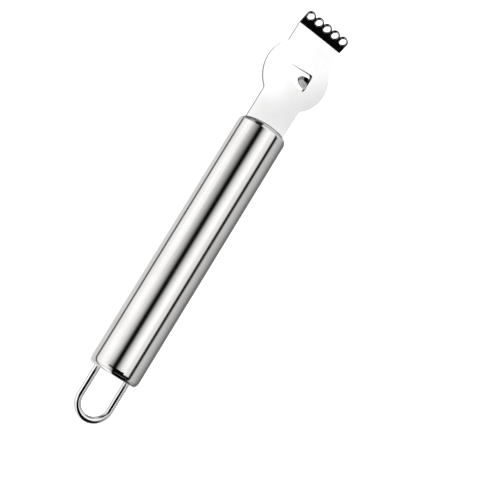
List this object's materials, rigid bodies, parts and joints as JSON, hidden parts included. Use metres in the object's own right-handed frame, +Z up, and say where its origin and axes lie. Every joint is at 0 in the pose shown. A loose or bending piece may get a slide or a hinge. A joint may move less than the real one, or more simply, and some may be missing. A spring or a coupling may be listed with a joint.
{
  "type": "citrus zester",
  "caption": "Hand tool with a hollow round handle, a wire hanging loop and a flat blade that ends in a bent lip of ringed holes, with a pressed channel knife in its disc.",
  "frame": {"origin": "under the middle of the whole part, on the surface that the handle lies on", "axes": "+X along the handle from the hanging loop to the blade's tip, +Z up from the surface, square to the flat of the blade, with the lip bent towards +Z and the channel knife's mouth towards -Y"},
  "size_m": [0.1724, 0.0272, 0.02],
  "materials": {
    "satin_steel": "fine brushed stainless steel, brushed along the handle",
    "cap_steel": "polished stainless steel",
    "blade_steel": "polished stainless steel sheet",
    "wire_steel": "bright drawn stainless wire",
    "weld_metal": "plain weld metal, hidden in the handle"
  },
  "bodies": {
    "root": {"handle_tube": "satin_steel", "front_cap": "cap_steel", "rear_cap": "cap_steel", "blade": "blade_steel", "hanging_loop": "wire_steel", "blade_weld": "weld_metal", "loop_weld": "weld_metal"}
  },
  "joints": []
}
